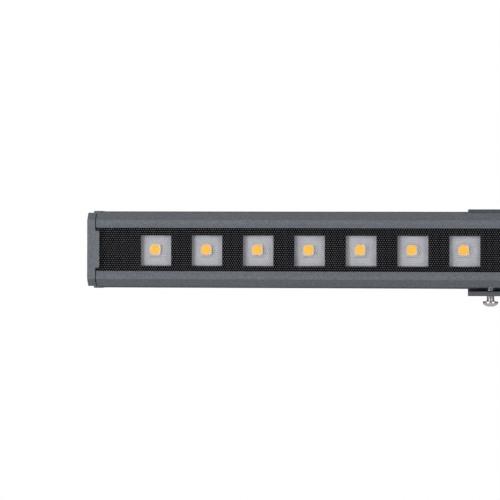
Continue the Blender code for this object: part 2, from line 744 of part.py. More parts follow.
def make_connector():
    """Panel-mount shell with O-ring, hexagon nut and an insert with four pins."""
    for name, profile, mat in (
        ("connector_body", SHELL_PROFILE, NICKEL),
        ("connector_oring", O_RING_PROFILE, RUBBER),
    ):
        place = world(LENGTH / 2, CONNECTOR_DEPTH, 0)
        ring = turned(name, profile, place, "X", mat, steps=28, closed=True)
        attach(batten_body, ring)
    hexagon = [
        (CONNECTOR_DEPTH + NUT_R * math.cos(angle), NUT_R * math.sin(angle))
        for angle in (math.radians(60 * k) for k in range(6))
    ]
    bore = circle(CONNECTOR_DEPTH, 0, CONNECTOR_HOLE_R, 28)
    nut = outline("connector_nut", [hexagon, bore], 242.2, 244.8, "X", NICKEL)
    smooth(nut.data, degrees=35)
    place = world(251.0, CONNECTOR_DEPTH, 0)
    insert = rod("connector_insert", 4.9, place, 15.0, "X", NYLON, sides=24)
    for k in range(4):
        angle = math.radians(45 + 90 * k)
        depth = CONNECTOR_DEPTH + PIN_CIRCLE_R * math.cos(angle)
        place = world(258.6, depth, PIN_CIRCLE_R * math.sin(angle))
        join(insert, rod(f"pin_{k}", 0.55, place, 6.0, "X", sides=10))
    attach(batten_body, nut, insert)


# ---- build ----------------------------------------------------------------------------
make_bracket()
make_clamp_tip()
make_clamp_screw()
make_housing()
make_front_stack()
for side, sign in (("left", -1), ("right", 1)):
    make_end_cap(side, sign)
    make_end_gasket(side, sign)
    make_led_board(side, sign)
make_leds()
make_board_fixings()
make_driver_board()
make_driver_components()
make_leads()
make_connector()

bpy.context.view_layer.update()
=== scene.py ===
"""Looks of an LED strip batten in its clip bracket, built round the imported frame.

The batten lies along X and faces -Y, with +Z up and the connector at its +X end. Left is
-X. Shapes are given in millimetres, with depth measured back (+Y) from the front face.
"""

import math

import bmesh
import bpy
import numpy as np
from mathutils import Matrix, Vector

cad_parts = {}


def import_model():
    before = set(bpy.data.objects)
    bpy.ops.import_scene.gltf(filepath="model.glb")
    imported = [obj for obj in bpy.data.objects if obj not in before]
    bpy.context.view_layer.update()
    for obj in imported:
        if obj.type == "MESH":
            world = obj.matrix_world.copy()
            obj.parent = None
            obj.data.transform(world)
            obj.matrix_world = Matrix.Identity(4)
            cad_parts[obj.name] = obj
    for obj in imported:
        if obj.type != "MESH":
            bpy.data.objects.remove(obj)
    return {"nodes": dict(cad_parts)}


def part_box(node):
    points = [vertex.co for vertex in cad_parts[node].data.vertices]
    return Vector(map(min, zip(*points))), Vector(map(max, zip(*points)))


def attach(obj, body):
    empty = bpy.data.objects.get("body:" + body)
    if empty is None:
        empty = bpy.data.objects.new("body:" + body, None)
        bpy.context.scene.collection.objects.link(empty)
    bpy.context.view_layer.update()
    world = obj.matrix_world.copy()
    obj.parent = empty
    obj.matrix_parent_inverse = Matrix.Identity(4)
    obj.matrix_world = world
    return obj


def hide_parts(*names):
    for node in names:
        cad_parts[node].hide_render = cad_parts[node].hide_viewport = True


MM = 0.001
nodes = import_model()["nodes"]
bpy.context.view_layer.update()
scene = bpy.context.scene

# ---- Reference planes, read from the frame (metres unless divided by MM) ----
HOUSE_LO, HOUSE_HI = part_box("housing")
FRONT = HOUSE_LO.y
CAP_LEFT_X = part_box("end_cap_left")[0].x / MM
CAP_RIGHT_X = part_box("end_cap_right")[1].x / MM
COVER_LO, COVER_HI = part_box("front_cover")
BOARD_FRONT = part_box("led_board_left")[0].y
SCREW_LO, SCREW_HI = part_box("clamp_screw")
BRACKET_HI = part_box("bracket")[1]
CONN_LO, CONN_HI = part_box("connector_body")
CONN_DEPTH = ((CONN_LO.y + CONN_HI.y) / 2 - FRONT) / MM


def at(x, depth, z):
    """World point from millimetres."""
    return Vector((x * MM, FRONT + depth * MM, z * MM))


# ---- Shader helpers ----
def feed(tree, socket, value):
    """Set a number, vector or RGB colour on a socket, or link another node's output."""
    if isinstance(value, bpy.types.NodeSocket):
        tree.links.new(value, socket)
    elif socket.type == "RGBA":
        socket.default_value = (*value, 1.0)
    else:
        socket.default_value = value


def feed_all(tree, node, inputs):
    for key, value in inputs.items():
        feed(tree, node.inputs[key], value)


def add_node(tree, kind, inputs=None, **settings):
    node = tree.nodes.new("ShaderNode" + kind)
    for key, value in settings.items():
        setattr(node, key, value)
    feed_all(tree, node, inputs or {})
    return node


def new_material(name):
    mat = bpy.data.materials.new(name)
    mat.use_nodes = True
    return mat, mat.node_tree, mat.node_tree.nodes["Principled BSDF"]


def object_coords(tree):
    return add_node(tree, "TexCoord").outputs["Object"]


def noise(tree, coords, scale, detail=2.0, rough=0.5, stretch=None):
    """Noise value; stretch multiplies the scale along each axis."""
    if stretch:
        coords = add_node(tree, "Mapping", {"Vector": coords, "Scale": stretch}).outputs["Vector"]
    inputs = {"Vector": coords, "Scale": scale, "Detail": detail, "Roughness": rough}
    return add_node(tree, "TexNoise", inputs).outputs["Fac"]


def remap(tree, value, source, target=(0.0, 1.0)):
    """Map value from the (low, high) source range to the target range."""
    inputs = {
        "Value": value,
        "From Min": source[0], "From Max": source[1],
        "To Min": target[0], "To Max": target[1],
    }
    return add_node(tree, "MapRange", inputs).outputs["Result"]


def maths(tree, operation, first, second):
    return add_node(tree, "Math", {0: first, 1: second}, operation=operation).outputs[0]


def weighted_sum(tree, first, first_share, second, second_share):
    return maths(
        tree, "ADD",
        maths(tree, "MULTIPLY", first, first_share),
        maths(tree, "MULTIPLY", second, second_share),
    )


def blend_colour(tree, fac, first, second, mode="MIX"):
    # sockets 6 and 7 and output 2 are the Mix node's colour set
    inputs = {0: fac, 6: first, 7: second}
    return add_node(tree, "Mix", inputs, data_type="RGBA", blend_type=mode).outputs[2]


def mix_shader(tree, fac, first, second):
    return add_node(tree, "MixShader", {0: fac, 1: first, 2: second}).outputs[0]


def bump(tree, bsdf, height, strength, distance):
    inputs = {"Strength": strength, "Distance": distance, "Height": height}
    feed(tree, bsdf.inputs["Normal"], add_node(tree, "Bump", inputs).outputs["Normal"])


# ---- Materials: colours are linear RGB, bump depths are metres ----
def powder_coat(name, dark, light):
    """Fine-textured powder coat: two sizes of speckle, a broad wash and light relief."""
    mat, tree, bsdf = new_material(name)
    coords = object_coords(tree)
    fine = noise(tree, coords, scale=2600.0, detail=3.0, rough=0.7)
    medium = noise(tree, coords, scale=1300.0, detail=1.0)
    broad = noise(tree, coords, scale=24.0)
    speckle = weighted_sum(tree, fine, 0.6, medium, 0.4)
    colour = blend_colour(tree, remap(tree, speckle, (0.36, 0.64)), dark, light)
    wash = remap(tree, broad, (0.3, 0.7), (0.97, 1.02))
    tint = add_node(tree, "CombineColor", {0: wash, 1: wash, 2: wash}).outputs[0]
    feed_all(tree, bsdf, {
        "Base Color": blend_colour(tree, 1.0, colour, tint, "MULTIPLY"),
        "Roughness": remap(tree, fine, (0.3, 0.7), (0.5, 0.66)),
        "Specular IOR Level": 0.42,
    })
    relief = maths(tree, "ADD", maths(tree, "MULTIPLY", fine, 0.6), medium)
    bump(tree, bsdf, relief, strength=0.35, distance=6e-5)
    return mat


def plastic(name, colour, rough, grain=900.0, spread=0.12, depth=2e-5, spec=0.5):
    """Grainy plastic; spread is the grain's share of lighter and darker colour."""
    mat, tree, bsdf = new_material(name)
    speckle = noise(tree, object_coords(tree), scale=grain, detail=3.0, rough=0.6)
    low = tuple(c * (1 - spread) for c in colour)
    high = tuple(min(1.0, c * (1 + spread)) for c in colour)
    rough_range = (max(0.02, rough - 0.06), min(1.0, rough + 0.08))
    feed_all(tree, bsdf, {
        "Base Color": blend_colour(tree, remap(tree, speckle, (0.35, 0.65)), low, high),
        "Roughness": remap(tree, speckle, (0.3, 0.7), rough_range),
        "Specular IOR Level": spec,
    })
    bump(tree, bsdf, speckle, strength=0.3, distance=depth)
    return mat


def metal(name, colour, rough, stretch=(1.0, 1.0, 1.0)):
    """Machined or plated metal: fine grain, drawn out by stretch, and slight tarnish."""
    mat, tree, bsdf = new_material(name)
    coords = object_coords(tree)
    lines = noise(tree, coords, scale=900.0, detail=3.0, rough=0.65, stretch=stretch)
    stain = noise(tree, coords, scale=160.0, detail=3.0, rough=0.55)
    tarnished = tuple(c * (1 - 0.1) for c in colour)
    wear = weighted_sum(tree, lines, 0.6, stain, 0.4)
    feed_all(tree, bsdf, {
        "Base Color": blend_colour(tree, remap(tree, stain, (0.35, 0.7)), colour, tarnished),
        "Metallic": 1.0,
        "Roughness": remap(tree, wear, (0.3, 0.7), (rough * 0.7, rough * 1.4)),
    })
    bump(tree, bsdf, lines, strength=0.4, distance=8e-6)
    return mat


def phosphor(name):
    """Grainy yellow phosphor with an even glow."""
    mat, tree, bsdf = new_material(name)
    grain = noise(tree, object_coords(tree), scale=2600.0, rough=0.6)
    dark, light = (0.95, 0.42, 0.024), (1.0, 0.52, 0.045)
    feed_all(tree, bsdf, {
        "Base Color": blend_colour(tree, remap(tree, grain, (0.35, 0.65)), dark, light),
        "Roughness": 0.35,
        "Emission Color": (1.0, 0.49, 0.04),
        "Emission Strength": 0.55,
    })
    bump(tree, bsdf, grain, strength=0.25, distance=2e-5)
    return mat


def clear_plastic(name, colour, rough, clearness):
    """Clear polycarbonate that lets lamp light straight through to what lies behind."""
    mat, tree, bsdf = new_material(name)
    feed_all(tree, bsdf, {
        "Base Color": colour, "Roughness": rough, "IOR": 1.38, "Transmission Weight": clearness,
    })
    clear = add_node(tree, "BsdfTransparent", {"Color": (0.8, 0.805, 0.81)})
    shadow = add_node(tree, "LightPath").outputs["Is Shadow Ray"]
    surface = mix_shader(tree, shadow, bsdf.outputs[0], clear.outputs[0])
    feed(tree, tree.nodes["Material Output"].inputs["Surface"], surface)
    return mat


POWDER = powder_coat("powder coat grey", dark=(0.142, 0.159, 0.184), light=(0.294, 0.32, 0.36))
# darker copy of the powder coat for the clip bracket: painted shade, standing in for the shadow
# that darkens the clip's lower arm under the bar
POWDER_SHADED = powder_coat(
    "powder coat clip painted shade", dark=(0.115, 0.125, 0.145), light=(0.185, 0.2, 0.226))
MASK = plastic(
    "mask black", (0.0034, 0.0033, 0.0042), rough=0.6, grain=1500, spread=0.3, depth=1e-5,
    spec=0.08)
RUBBER = plastic(
    "silicone black", (0.018, 0.018, 0.019), rough=0.7, grain=700, spread=0.2, depth=3e-5)
NYLON = plastic(
    "nylon black", (0.022, 0.022, 0.024), rough=0.48, grain=1100, spread=0.2, depth=3e-5)
STEEL = metal("stainless steel", (0.84, 0.81, 0.78), rough=0.3, stretch=(1, 1, 6))
STEEL_X = metal("stainless steel turned", (0.84, 0.81, 0.78), rough=0.3, stretch=(6, 1, 1))
NICKEL = metal("nickel plated brass", (0.74, 0.71, 0.66), rough=0.2, stretch=(5, 1, 1))
GOLD = metal("gold plated pin", (0.86, 0.64, 0.28), rough=0.22, stretch=(4, 1, 1))
TIN = metal("tinned pad", (0.72, 0.72, 0.72), rough=0.45)
BOARD = plastic("white solder mask", (0.69, 0.695, 0.735), rough=0.4, grain=380, spread=0.05)
# grey for the print dashes, and for the thin rule under each package, which is a painted shadow
# line
PRINT_AND_SHADE_LINE = plastic(
    "board print grey", (0.3, 0.3, 0.31), rough=0.6, grain=500, spread=0.1, depth=1e-5)
LED_WHITE = plastic("led package white", (0.97, 0.86, 0.74), rough=0.42, spread=0.03, depth=1e-5)
PAD_GREY = plastic("thermal pad", (0.33, 0.4, 0.48), rough=0.85, grain=1300, depth=5e-5)
GREEN = plastic(
    "driver board green", (0.02, 0.13, 0.055), rough=0.4, grain=300, spread=0.25, depth=1e-5)
FERRITE = plastic(
    "ferrite", (0.045, 0.045, 0.05), rough=0.6, grain=1600, spread=0.35, depth=6e-5)
SLEEVE = plastic(
    "capacitor sleeve", (0.03, 0.05, 0.16), rough=0.3, grain=200, spread=0.1, depth=1e-5)
CHIP = plastic("chip black", (0.02, 0.02, 0.022), rough=0.5, grain=1800, spread=0.2, depth=3e-5)
TERMINAL = plastic(
    "terminal green", (0.05, 0.28, 0.12), rough=0.42, grain=400, spread=0.08, depth=1e-5)
SHEET = plastic(
    "insulating sheet", (0.74, 0.71, 0.6), rough=0.5, grain=260, spread=0.06, depth=1e-5)
LEAD_RED = plastic(
    "lead red", (0.55, 0.02, 0.018), rough=0.38, grain=500, spread=0.08, depth=1e-5)
LEAD_BLACK = plastic(
    "lead black", (0.016, 0.016, 0.016), rough=0.38, grain=500, spread=0.1, depth=1e-5)
PHOSPHOR = phosphor("phosphor yellow")
COVER = clear_plastic("clear cover", (0.96, 0.965, 0.97), rough=0.04, clearness=1.0)
# grey, half-clear finish for the lens crests: painted glint, one dot on each lens standing in for
# its highlight
CREST_GLINT = clear_plastic("lens crest painted glint", (0.31, 0.315, 0.35), rough=0.32, clearness=0.66)


# ---- Object helpers ----
def add_object(name, mesh, *mats):
    obj = bpy.data.objects.new(name, mesh)
    scene.collection.objects.link(obj)
    for mat in mats:
        mesh.materials.append(mat)
    return obj


def mount(obj, body, replaced=None, angle=None, weighted=True):
    """Register a finished piece; angle, if given, is its smooth-shading limit in degrees."""
    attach(obj, body)
    if replaced:
        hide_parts(replaced)
    if angle is None:
        return
    obj.data.shade_smooth()
    obj.data.set_sharp_from_angle(angle=math.radians(angle))
    if weighted:
        normals = obj.modifiers.new("Weighted normals", "WEIGHTED_NORMAL")
        normals.mode = "FACE_AREA"
        normals.keep_sharp = True
        normals.weight = 50


def apply_booleans(obj, cuts=(), joins=()):
    """Add the joins to obj, then take the cuts away, with the exact solver."""
    tools = []
    for operation, meshes in (("UNION", joins), ("DIFFERENCE", cuts)):
        for mesh in meshes:
            tool = add_object("cutter", mesh)
            tools.append(tool)
            modifier = obj.modifiers.new("b", "BOOLEAN")
            modifier.operation, modifier.solver, modifier.object = operation, "EXACT", tool
    bpy.context.view_layer.update()
    evaluated = obj.evaluated_get(bpy.context.evaluated_depsgraph_get())
    result = bpy.data.meshes.new_from_object(evaluated)
    mats = list(obj.data.materials)
    obj.modifiers.clear()
    obj.data = result
    result.materials.clear()
    for mat in mats:
        result.materials.append(mat)
    for poly in result.polygons:
        poly.material_index = 0
    for tool in tools:
        bpy.data.objects.remove(tool, do_unlink=True)


# ---- Outline and mesh helpers (mm) ----
# rotations that send local Z along the named axis
TURNS = {
    "Z": Matrix.Identity(4),
    "X": Matrix(((0, 0, 1, 0), (1, 0, 0, 0), (0, 1, 0, 0), (0, 0, 0, 1))),
    "-X": Matrix(((0, 0, -1, 0), (1, 0, 0, 0), (0, -1, 0, 0), (0, 0, 0, 1))),
    "Y": Matrix(((1, 0, 0, 0), (0, 0, 1, 0), (0, -1, 0, 0), (0, 0, 0, 1))),
    "-Y": Matrix(((1, 0, 0, 0), (0, 0, -1, 0), (0, 1, 0, 0), (0, 0, 0, 1))),
}


def write_mesh(bm, mesh):
    bm.to_mesh(mesh)
    bm.free()
    return mesh


def mirrored(half):
    """Closed outline from its upper half of (depth, z, radius) corners."""
    return half + [(depth, -z, radius) for depth, z, radius in reversed(half)]


def rounded(corners, steps=3):
    """Closed loop from (a, b, radius) corners, each rounded off by its radius."""
    loop = []
    for k, (a, b, wanted) in enumerate(corners):
        before, after = corners[k - 1], corners[(k + 1) % len(corners)]
        point = Vector((a, b))
        to_before, to_after = Vector(before[:2]) - point, Vector(after[:2]) - point
        if wanted <= 0 or to_before.length < 1e-9 or to_after.length < 1e-9:
            loop.append((a, b))
            continue
        angle = to_before.angle(to_after)
        if angle > math.pi - 1e-3:
            loop.append((a, b))
            continue
        # neighbouring arcs may not meet, so each takes under half of an edge
        reach = min(wanted / math.tan(angle / 2), to_before.length * 0.46, to_after.length * 0.46)
        radius = reach * math.tan(angle / 2)
        start = point + to_before.normalized() * reach
        end = point + to_after.normalized() * reach
        middle = (to_before.normalized() + to_after.normalized()).normalized()
        centre = point + middle * (radius / math.sin(angle / 2))
        first = math.atan2(start.y - centre.y, start.x - centre.x)
        last = math.atan2(end.y - centre.y, end.x - centre.x)
        turn = (last - first + math.pi) % (2 * math.pi) - math.pi
        for i in range(steps + 1):
            t = first + turn * i / steps
            loop.append((centre.x + radius * math.cos(t), centre.y + radius * math.sin(t)))
    return loop


def circle(a, b, radius, count):
    """Closed loop of points, starting half a step round."""
    angles = [2 * math.pi * (k + 0.5) / count for k in range(count)]
    return [(a + radius * math.cos(t), b + radius * math.sin(t)) for t in angles]


def arc(centre_a, centre_b, radius, start, end, steps):
    """Points on an arc, with angles in degrees from the first axis."""
    angles = [math.radians(start + (end - start) * k / steps) for k in range(steps + 1)]
    return [(centre_a + radius * math.cos(t), centre_b + radius * math.sin(t)) for t in angles]


def extruded(loops, length, place):
    """Filled outline with holes, extruded evenly both ways along local Z and placed.

    Returns the open bmesh and the mesh to write it to.
    """
    curve = bpy.data.curves.new("outline", "CURVE")
    curve.dimensions = "2D"
    curve.fill_mode = "BOTH"
    curve.extrude = length / 2 * MM
    curve.resolution_u = 1
    for loop in loops:
        spline = curve.splines.new("POLY")
        spline.points.add(len(loop) - 1)
        for point, (a, b) in zip(spline.points, loop):
            point.co = (a * MM, b * MM, 0.0, 1.0)
        spline.use_cyclic_u = True
    obj = add_object("outline", curve)
    evaluated = obj.evaluated_get(bpy.context.evaluated_depsgraph_get())
    mesh = bpy.data.meshes.new_from_object(evaluated)
    bpy.data.objects.remove(obj, do_unlink=True)
    bm = bmesh.new()
    bm.from_mesh(mesh)
    bmesh.ops.remove_doubles(bm, verts=bm.verts, dist=1e-6)
    bmesh.ops.transform(bm, matrix=place, verts=bm.verts)
    bmesh.ops.recalc_face_normals(bm, faces=bm.faces)
    return bm, mesh


def section_x(loops, x0, x1, edge=0.0, both=True):
    """Constant (depth, z) section from x0 to x1; edge rounds both end rims or that at x1."""
    place = Matrix.Translation(at((x0 + x1) / 2, 0, 0)) @ TURNS["X"]
    bm, mesh = extruded(loops, abs(x1 - x0), place)
    # merge the triangles of the flat ends
    flat = [e for e in bm.edges if len(e.link_faces) == 2
            and all(abs(f.normal.x) > 0.99 for f in e.link_faces)]
    bmesh.ops.dissolve_limit(bm, angle_limit=math.radians(0.5), verts=bm.verts, edges=flat)
    if edge:
        ends = [x0 * MM, x1 * MM] if both else [x1 * MM]
        rim = [
            e for e in bm.edges
            if len(e.link_faces) == 2
            and any(all(abs(v.co.x - x) < 1e-6 for v in e.verts) for x in ends)
            and e.calc_face_angle(0) > math.radians(45)
        ]
        bmesh.ops.bevel(bm, geom=rim, offset=edge * MM, segments=3, profile=0.5,
                        affect="EDGES", clamp_overlap=True)
    return write_mesh(bm, mesh)


def section_y(loops, depth0, depth1):
    """Constant (x, z) section between two depths."""
    place = Matrix.Translation(at(0, (depth0 + depth1) / 2, 0)) @ TURNS["-Y"]
    return write_mesh(*extruded(loops, abs(depth1 - depth0), place))


def box_mesh(lo, hi):
    bm = bmesh.new()
    bmesh.ops.create_cube(bm, size=1.0)
    bmesh.ops.scale(bm, vec=(hi - lo), verts=bm.verts)
    bmesh.ops.translate(bm, vec=(lo + hi) / 2, verts=bm.verts)
    return write_mesh(bm, bpy.data.meshes.new("box"))


def add_ring(bm, radii, height):
    """Ring of vertices round Z, one for each radius."""
    count = len(radii)
    return [
        bm.verts.new((r * MM * math.cos(2 * math.pi * k / count),
                      r * MM * math.sin(2 * math.pi * k / count), height * MM))
        for k, r in enumerate(radii)
    ]


def add_round_ring(bm, radius, height, count):
    """Ring of one radius, or a single vertex where the radius is nil."""
    if radius <= 1e-9:
        return [bm.verts.new((0, 0, height * MM))]
    return add_ring(bm, [radius] * count, height)


def join_rings(bm, pairs):
    """Faces between pairs of rings, either of which may be a single vertex."""
    for upper, lower in pairs:
        count = max(len(upper), len(lower))
        for k in range(count):
            after = (k + 1) % count
            corners = (upper[k % len(upper)], lower[k % len(lower)],
                       lower[after % len(lower)], upper[after % len(upper)])
            face = list(dict.fromkeys(corners))
            if len(face) > 2:
                bm.faces.new(face)


def lathe(profile, count, axis="Z", place=(0, 0, 0)):
    """Turned mesh from (radius, height) points; height runs along the axis from place."""
    bm = bmesh.new()
    rings = [add_round_ring(bm, radius, height, count) for radius, height in profile]
    join_rings(bm, zip(rings, rings[1:]))
    bmesh.ops.recalc_face_normals(bm, faces=bm.faces)
    bmesh.ops.transform(bm, matrix=TURNS[axis], verts=bm.verts)
    mesh = write_mesh(bm, bpy.data.meshes.new("lathe"))
    mesh.transform(Matrix.Translation(place))
    return mesh


def cylinder(radius, top, bottom, count, axis="Z", place=(0, 0, 0)):
    profile = [(0, top), (radius, top), (radius, bottom), (0, bottom)]
    return lathe(profile, count, axis, place)


THREAD_COUNT = 48  # points round a thread
THREAD_ROWS = 8  # rings for each pitch


def thread_radius(turn, height, major, pitch, bottom, top):
    """Radius of a right-hand thread at a fraction of a turn; it fades out at both ends."""
    depth = 0.54 * pitch
    run_out = 0.9 * pitch
    fade = max(0.0, min(1.0, (height - bottom) / run_out, (top - height) / run_out))
    lead_in = max(0.0, 1.0 - (top - height) / run_out)
    phase = (height / pitch - turn) % 1.0
    crest = abs(phase - 0.5) * 2.0  # 1 at a crest, 0 at a root
    flank = min(1.0, max(0.0, (crest - 0.16) / 0.68))
    return min(major - depth * (1.0 - flank) * fade, major - depth * lead_in)


def threaded(major, pitch, bottom, top, head, bore=None):
    """Threaded rod along +Z, continued below by the (radius, height) rings of head.

    It is closed flat on top, or hollow if bore gives the rings inside its mouth.
    """
    rows = int(round((top - bottom) / pitch * THREAD_ROWS))
    bm = bmesh.new()
    rings = []
    for row in range(rows + 1):
        height = bottom + (top - bottom) * row / rows
        radii = [thread_radius(k / THREAD_COUNT, height, major, pitch, bottom, top)
                 for k in range(THREAD_COUNT)]
        rings.append(add_ring(bm, radii, height))
    rings.reverse()  # top to bottom
    rings += [add_round_ring(bm, radius, height, THREAD_COUNT) for radius, height in head]
    if bore:
        mouth = [add_round_ring(bm, radius, height, THREAD_COUNT) for radius, height in bore]
        rings = mouth[::-1] + rings
    pairs = list(zip(rings, rings[1:]))
    if bore:
        pairs.append((rings[-1], rings[0]))
    join_rings(bm, pairs)
    if not bore:
        bm.faces.new(rings[0][::-1])
    bmesh.ops.recalc_face_normals(bm, faces=bm.faces)
    return write_mesh(bm, bpy.data.meshes.new("threaded"))


# ---- Housing: the extrusion with its small edge radii ----
HOUSE_BACK = 48.0  # depth of the back face
SIDE_Z = 24.1  # half height at the sides
WEB_DEPTH = 11.7  # near the middle of the front channel's floor
PORTS = ((8.8, 18.3), (37.3, 17.9))  # depth and z of the screw ports, above and below
PORT_R = 1.7

# upper half of the section, front channel first: depth, z, corner radius
house_half = [
    (10.5, 14.9, 0), (5.9, 14.9, 0), (5.9, 15.9, 0), (1.5, 15.9, 0), (1.5, 13.4, 0.12),
    (0.8, 13.4, 0.22), (0.0, 15.9, 0.5), (0.0, 18.35, 0.5), (4.5, 22.85, 0.7),
    (9.5, 22.85, 0.5), (13.0, 18.5, 1.0), (25.5, 18.5, 1.2), (28.0, 23.7, 0.5),
    (28.4, SIDE_Z, 0.3),
]
# grooves along the side: depth of the middle, how deep they cut, radius at the floor
for middle, cut, corner in ((32.5, 1.0, 0.25), (36.5, 1.1, 0.2), (40.5, 1.0, 0.25)):
    house_half += [
        (middle - 0.8, SIDE_Z, 0.2), (middle - 0.6, SIDE_Z - cut, corner),
        (middle + 0.6, SIDE_Z - cut, corner), (middle + 0.8, SIDE_Z, 0.2),
    ]
house_half += [(46.0, SIDE_Z, 0.6), (HOUSE_BACK, 22.1, 0.5)]
# tapered slots in the back, the last one split by the middle plane
SLOT_FLOOR, SLOT_MOUTH_HALF, SLOT_FLOOR_HALF = 43.5, 1.4, 1.2
for z in (16.5, 11.0, 5.5, 0.0):
    house_half += [(HOUSE_BACK, z + SLOT_MOUTH_HALF, 0.5), (SLOT_FLOOR, z + SLOT_FLOOR_HALF, 0.5)]
    if z:
        house_half += [
            (SLOT_FLOOR, z - SLOT_FLOOR_HALF, 0.5), (HOUSE_BACK, z - SLOT_MOUTH_HALF, 0.5)]
chamber_half = [
    (13.0, 16.2, 1.0), (26.0, 16.2, 1.0), (28.6, 21.2, 0.5),
    (33.5, 21.2, 0.4), (33.5, 14.5, 0.4), (41.0, 14.5, 1.0),
]
house_loops = [rounded(mirrored(house_half)), rounded(mirrored(chamber_half))]
house_loops += [circle(depth, sign * z, PORT_R, 20) for depth, z in PORTS for sign in (-1, 1)]
house_half_x = HOUSE_HI.x / MM
housing = add_object(
    "housing_extrusion", section_x(house_loops, -house_half_x, house_half_x), POWDER)
# holes through the channel floor: x, radius, points round
WEB_HOLES = (
    (-191.4, 1.7, 20), (-63.8, 1.7, 20), (63.8, 1.7, 20), (191.4, 1.7, 20), (228.0, 3.2, 24),
)
apply_booleans(housing, [
    cylinder(radius, 3, -3, count, "-Y", at(x, WEB_DEPTH, 0)) for x, radius, count in WEB_HOLES])
mount(housing, "batten", "housing", angle=34)

# ---- End caps and their screws ----
# upper half of the cap's outline: depth, z, corner radius
CAP_HALF = [
    (0.0, 18.35, 0.5), (4.5, 22.85, 0.9), (28.0, 23.1, 0.4),
    (28.0, 24.4, 0.45), (46.2, 24.4, 0.9), (HOUSE_BACK, 22.6, 0.8),
]
CAP_THICK = 5.0
TONGUE_X, TONGUE_HALF_Z, TONGUE_THICK = (242.4, 246.4), 11.6, 1.3
CAP_SCREWS = [(depth, sign * z) for depth, z in PORTS for sign in (1, -1)]
# radius and height out from the cap's face
COUNTERBORE = [
    (0, 1), (3.5, 1), (3.1, -0.15), (3.1, -2.6), (PORT_R, -2.6), (PORT_R, -8), (0, -8)]
CAP_SCREW = [(0, -2.0), (1.16, -2.0), (1.16, -0.5)] + arc(1.9, -1.1, 0.62, 84, 8, 6) + [
    (2.6, -1.3), (2.6, -2.2), (2.5, -2.3), (1.4, -2.3), (1.4, -12.5), (0.9, -13.0), (0, -13.0)]


def end_cap(side, sign, outer_x):
    """Cap with a tongue on its front face and counterbores; sign is its side along X."""
    outline = rounded(mirrored(CAP_HALF), 4)
    mesh = section_x([outline], outer_x - sign * CAP_THICK, outer_x, edge=0.9, both=False)
    cap = add_object(f"cap_{side}", mesh, POWDER)
    x0, x1 = sorted(sign * x for x in TONGUE_X)
    z = TONGUE_HALF_Z
    corners = [(x0, -z, 1.1), (x1, -z, 1.1), (x1, z, 1.1), (x0, z, 1.1)]
    tongue = section_y([rounded(corners, 5)], 0.0, TONGUE_THICK)
    outward = "X" if sign > 0 else "-X"
    cuts = [lathe(COUNTERBORE, 40, outward, at(outer_x, *spot)) for spot in CAP_SCREWS]
    if sign > 0:  # hole for the connector
        cuts.append(cylinder(7.3, 3, -9, 48, outward, at(outer_x, CONN_DEPTH, 0)))
    apply_booleans(cap, cuts, [tongue])
    mount(cap, "batten", f"end_cap_{side}", angle=34)

    for k, spot in enumerate(CAP_SCREWS, start=1):
        place = at(outer_x, *spot)
        mesh = lathe(CAP_SCREW, 36, outward, place)
        bolt = add_object(f"cap_screw_{side}_{k}", mesh, STEEL_X)
        apply_booleans(bolt, [cylinder(1.55, 0.5, -1.9, 6, outward, place)])  # hex socket
        mount(bolt, "batten", f"end_screw_{side}_{k}", angle=36)


end_cap("left", -1, CAP_LEFT_X)
end_cap("right", 1, CAP_RIGHT_X)

# ---- Clip bracket ----
clip_back = (BRACKET_HI.y - FRONT) / MM
clip_inner = clip_back - 3.0  # front face of the back plate
clip_half_x = BRACKET_HI.x / MM
screw_x, screw_y = (SCREW_LO.x + SCREW_HI.x) / 2, (SCREW_LO.y + SCREW_HI.y) / 2
# section: up the back, over the hooked top arm, down inside, round the bottom arm
bracket_points = [
    (clip_back, -27.3, 0.4), (clip_back, 24.6, 0.4), (clip_back - 1.0, 25.6, 0.4),
    (24.4, 25.6, 0.5), (23.8, 25.0, 0.5), (23.8, 21.2, 0.4), (24.2, 20.8, 0.3),
    (25.0, 20.8, 0.3), (25.4, 21.2, 0.3), (25.4, 23.6, 0.4), (26.2, 24.4, 0.5),
    (clip_back - 3.8, 24.4, 0.5), (clip_inner, 23.6, 0.5), (clip_inner, -23.8, 0.8),
    (clip_back - 4.5, -25.3, 0.8), (12.3, -25.3, 0.25), (12.0, -25.6, 0.25),
    (12.0, -28.0, 0.25), (12.3, -28.3, 0.25), (clip_back - 1.0, -28.3, 0.4),
]
# the clip takes the darker copy of the powder coat, which is painted shade
bracket = add_object(
    "clip_bracket",
    section_x([rounded(bracket_points, 4)], -clip_half_x, clip_half_x, edge=0.35), POWDER_SHADED)
COUNTERSINK = [(0, 6.0), (2.8, 6.0), (2.8, 2.9), (5.75, -0.05), (5.9, -0.8), (0, -0.8)]
cuts = [lathe(COUNTERSINK, 40, "Y", at(0, clip_inner, z)) for z in (-13.0, 13.0)]
cuts.append(cylinder(2.8, 5.0, -5.0, 40, "Z", (screw_x, screw_y, -26.8 * MM)))
apply_booleans(bracket, cuts)
mount(bracket, "bracket", "bracket", angle=34)

# ---- Clamp screw with its thread and cross recess, head down ----
HEAD_R, DOME_TOP, DOME_DEPTH = 4.7, -32.35, 2.65
head_low = SCREW_LO.z / MM
head = [(2.3, -31.55), (2.75, -31.6), (4.45, -31.6)] + arc(4.45, -31.85, 0.25, 90, 0, 3)[1:]
head.append((HEAD_R, DOME_TOP))
for angle in range(8, 90, 9):
    t = math.radians(angle)
    head.append((HEAD_R * math.cos(t), DOME_TOP - DOME_DEPTH * math.sin(t)))
head.append((0, head_low))
screw_mesh = threaded(major=2.5, pitch=0.8, bottom=-31.4, top=-20.3, head=head)
screw = add_object("clamp_screw_threaded", screw_mesh, STEEL)
stub = lathe([(0, -19.5), (1.0, -19.5), (1.2, -19.7), (1.2, -21.2), (0, -21.2)], 32)


